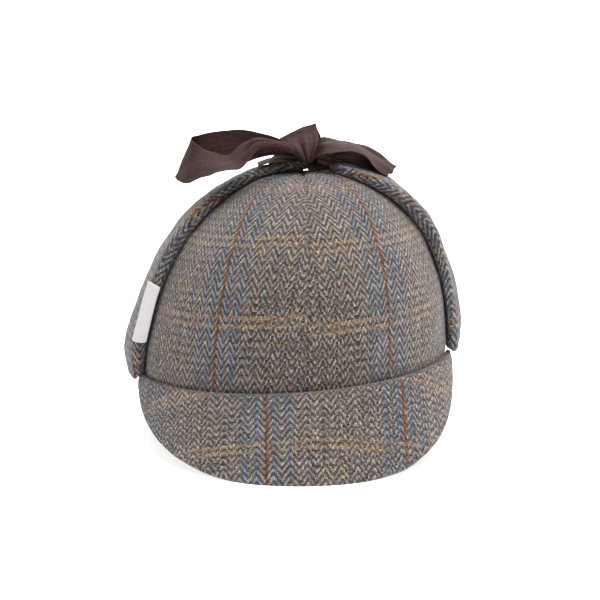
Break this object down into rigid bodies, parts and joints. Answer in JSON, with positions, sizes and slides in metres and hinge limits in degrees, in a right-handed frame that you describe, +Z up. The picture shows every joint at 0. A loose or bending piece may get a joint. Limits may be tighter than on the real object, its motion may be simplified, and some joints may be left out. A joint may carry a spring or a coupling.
{
  "type": "deerstalker hat",
  "caption": "Tweed deerstalker hat with a peak in front and behind and its ear flaps tied up over the domed crown in a ribbon bow.",
  "frame": {"origin": "on the floor under the middle of the hat, at the foot of its box", "axes": "+Z up through the top of the crown; +Y from the front peak to the back peak; +X to the wearer's left"},
  "size_m": [0.198, 0.3058, 0.1731],
  "materials": {
    "tweed": "matt woollen herringbone tweed with a faint overcheck",
    "ribbon": "dull ribbed ribbon",
    "tape": "matt woven tape"
  },
  "bodies": {
    "root": {"crown_front_left": "tweed", "crown_front_right": "tweed", "crown_back_left": "tweed", "crown_back_right": "tweed", "front_peak": "tweed", "back_peak": "tweed", "ear_flap_left": "tweed", "ear_flap_right": "tweed", "label": "tape", "bow_knot": "ribbon", "bow_loop_right": "ribbon", "bow_loop_left": "ribbon", "bow_tail_right": "ribbon", "bow_tail_left": "ribbon", "tie_right": "ribbon", "tie_left": "ribbon"}
  },
  "joints": []
}
